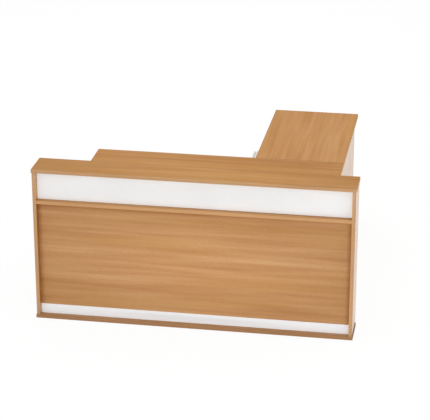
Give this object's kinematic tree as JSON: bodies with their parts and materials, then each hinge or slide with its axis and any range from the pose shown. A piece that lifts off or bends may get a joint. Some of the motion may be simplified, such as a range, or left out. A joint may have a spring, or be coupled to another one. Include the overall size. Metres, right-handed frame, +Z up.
{
  "type": "checkout counter",
  "caption": "Panelled checkout counter: a tall front screen with a white band, an L-shaped desk behind it and a drawer pedestal at its inner corner.",
  "frame": {"origin": "on the floor, under the middle of the overall box", "axes": "+Z up, -Y towards the customers in front of the screen, +X to their right, where the return is"},
  "size_m": [2, 2.088, 1],
  "materials": {
    "beech": "beech-faced board, satin",
    "white_board": "white-faced board, satin",
    "sign_white": "white acrylic",
    "kick_lacquer": "pale grey lacquer, brushed",
    "steel": "zinc plated",
    "grey_plastic": "moulded grey",
    "black_plastic": "moulded black",
    "white_plastic": "moulded white"
  },
  "bodies": {
    "counter": {"base_board": "beech", "counter_top": "beech", "left_end_panel": "beech", "right_end_panel": "beech", "niche_floor": "beech", "sign_backing": "beech", "front_panel": "beech", "niche_divider_left": "beech", "niche_divider_right": "beech", "lower_divider_left": "beech", "lower_divider_right": "beech", "desk_top": "beech", "return_top": "beech", "desk_left_gable": "beech", "desk_right_gable": "beech", "desk_stretcher": "beech", "return_end_gable": "beech", "return_side_panel": "beech", "pedestal_desk_side": "white_board", "pedestal_end_side": "white_board", "pedestal_top": "white_board", "pedestal_base": "white_board", "pedestal_back": "white_board", "pedestal_lock_rail": "white_board", "joining_plates": "steel", "link_angles": "steel", "foot_inserts": "steel", "runner_tracks": "steel", "counter_glides": "black_plastic", "pedestal_glides": "black_plastic", "cable_port_liner_left": "grey_plastic", "cable_port_liner_right": "grey_plastic", "counter_corner_blocks": "white_plastic", "desk_corner_blocks": "white_plastic", "sign_panel": "sign_white", "kick_strip": "kick_lacquer"},
    "top_drawer": {"top_drawer_front": "white_board", "top_drawer_tray": "white_board", "top_drawer_rails": "steel"},
    "top_runner": {"top_runner_middles": "steel"},
    "middle_drawer": {"middle_drawer_front": "white_board", "middle_drawer_tray": "white_board", "middle_drawer_rails": "steel"},
    "middle_runner": {"middle_runner_middles": "steel"},
    "file_drawer": {"file_drawer_front": "white_board", "file_drawer_tray": "white_board", "file_drawer_rails": "steel"},
    "file_runner": {"file_runner_middles": "steel"},
    "drawer_lock": {"lock_barrel": "steel", "lock_cam": "steel"},
    "left_port_cap": {"cable_port_cap_left": "grey_plastic"},
    "right_port_cap": {"cable_port_cap_right": "grey_plastic"},
    "foot_left_front_turn": {"foot_left_front": "black_plastic"},
    "foot_left_rear_turn": {"foot_left_rear": "black_plastic"},
    "foot_right_front_turn": {"foot_right_front": "black_plastic"},
    "foot_right_rear_turn": {"foot_right_rear": "black_plastic"},
    "foot_end_inner_turn": {"foot_end_inner": "black_plastic"},
    "foot_end_outer_turn": {"foot_end_outer": "black_plastic"}
  },
  "joints": [
    {"name": "top_drawer_slide", "type": "slide", "parent": "counter", "child": "top_drawer", "axis": [-1, 0, 0], "range_m": [0, 0.45]},
    {"name": "top_runner_slide", "type": "slide", "parent": "counter", "child": "top_runner", "axis": [-1, 0, 0], "range_m": [0, 0.225]},
    {"name": "middle_drawer_slide", "type": "slide", "parent": "counter", "child": "middle_drawer", "axis": [-1, 0, 0], "range_m": [0, 0.45]},
    {"name": "middle_runner_slide", "type": "slide", "parent": "counter", "child": "middle_runner", "axis": [-1, 0, 0], "range_m": [0, 0.225]},
    {"name": "file_drawer_slide", "type": "slide", "parent": "counter", "child": "file_drawer", "axis": [-1, 0, 0], "range_m": [0, 0.45]},
    {"name": "file_runner_slide", "type": "slide", "parent": "counter", "child": "file_runner", "axis": [-1, 0, 0], "range_m": [0, 0.225]},
    {"name": "lock_turn", "type": "hinge", "parent": "top_drawer", "child": "drawer_lock", "pos_m": [0.211, -0.113, 0.682], "axis": [1, 0, 0], "range_deg": [0, 90]},
    {"name": "left_cap_turn", "type": "hinge", "parent": "counter", "child": "left_port_cap", "pos_m": [-0.5, -0.728, 0.76], "axis": [0, 0, 1], "continuous": true},
    {"name": "right_cap_turn", "type": "hinge", "parent": "counter", "child": "right_port_cap", "pos_m": [0.5, -0.728, 0.76], "axis": [0, 0, 1], "continuous": true},
    {"name": "foot_left_front_level", "type": "hinge", "parent": "counter", "child": "foot_left_front_turn", "pos_m": [-0.7855, -0.748, 0], "axis": [0, 0, 1], "continuous": true},
    {"name": "foot_left_rear_level", "type": "hinge", "parent": "counter", "child": "foot_left_rear_turn", "pos_m": [-0.7855, -0.051, 0], "axis": [0, 0, 1], "continuous": true},
    {"name": "foot_right_front_level", "type": "hinge", "parent": "counter", "child": "foot_right_front_turn", "pos_m": [0.7855, -0.748, 0], "axis": [0, 0, 1], "continuous": true},
    {"name": "foot_right_rear_level", "type": "hinge", "parent": "counter", "child": "foot_right_rear_turn", "pos_m": [0.7855, -0.051, 0], "axis": [0, 0, 1], "continuous": true},
    {"name": "foot_end_inner_level", "type": "hinge", "parent": "counter", "child": "foot_end_inner_turn", "pos_m": [0.323, 1.0015, 0], "axis": [0, 0, 1], "continuous": true},
    {"name": "foot_end_outer_level", "type": "hinge", "parent": "counter", "child": "foot_end_outer_turn", "pos_m": [0.738, 1.0015, 0], "axis": [0, 0, 1], "continuous": true}
  ],
  "couplings": [
    {"joint": "top_runner_slide", "follows": "top_drawer_slide", "ratio": 0.5},
    {"joint": "middle_runner_slide", "follows": "middle_drawer_slide", "ratio": 0.5},
    {"joint": "file_runner_slide", "follows": "file_drawer_slide", "ratio": 0.5}
  ]
}
